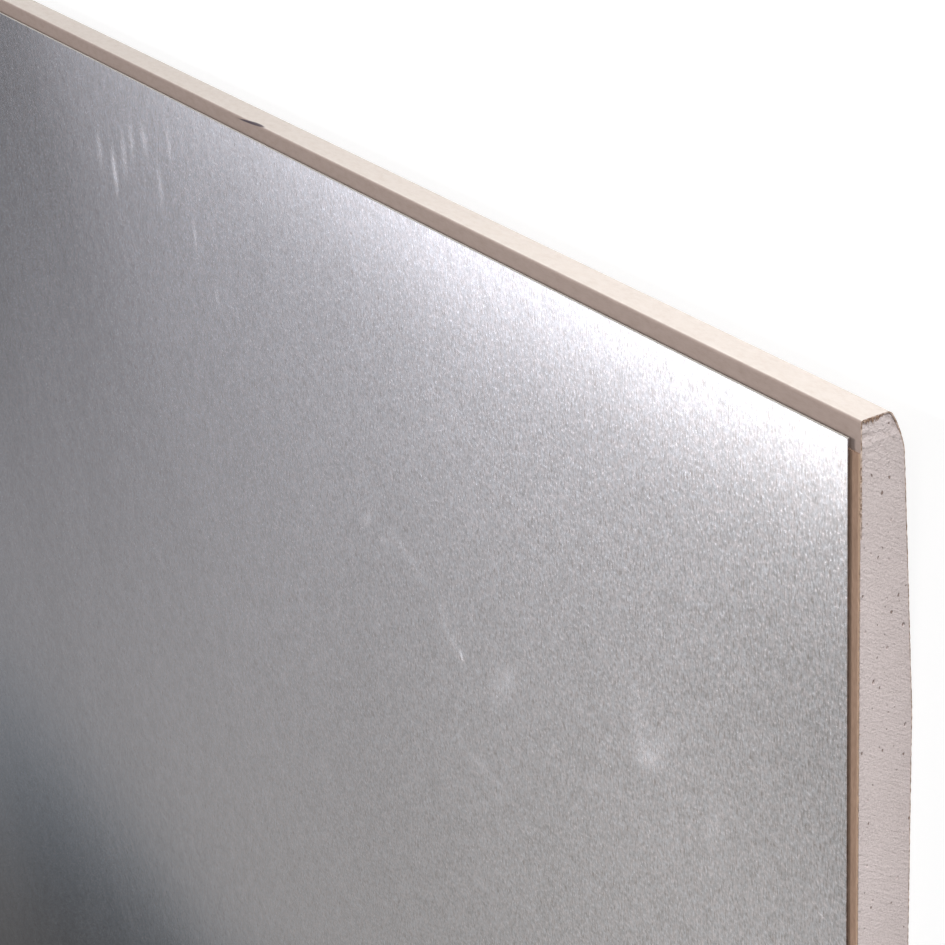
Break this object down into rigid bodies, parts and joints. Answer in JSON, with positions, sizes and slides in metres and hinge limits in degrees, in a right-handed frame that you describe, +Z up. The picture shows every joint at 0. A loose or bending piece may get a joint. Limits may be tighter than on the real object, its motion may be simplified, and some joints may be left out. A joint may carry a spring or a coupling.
{
  "type": "steel-faced drywall sheet",
  "caption": "Flat gypsum drywall sheet in a paper liner, with tapered half-round long edges, sawn square ends and a thin galvanised steel sheet laminated to its back.",
  "frame": {"origin": "on the floor under the middle of the sheet, which lies on its front paper face", "axes": "+X along the sheet's length, +Y across its width, +Z up from the front paper face to the steel"},
  "size_m": [2, 1.25, 0.013],
  "materials": {
    "gypsum": "sawn gypsum with small pores, matt",
    "face_paper": "smooth cream liner paper, matt",
    "back_paper": "grey-brown liner paper, matt",
    "galvanised_steel": "hot-dip galvanised, fine mottled grain, satin"
  },
  "bodies": {
    "root": {"gypsum_core": "gypsum", "face_paper": "face_paper", "back_paper": "back_paper", "steel_sheet": "galvanised_steel"}
  },
  "joints": []
}
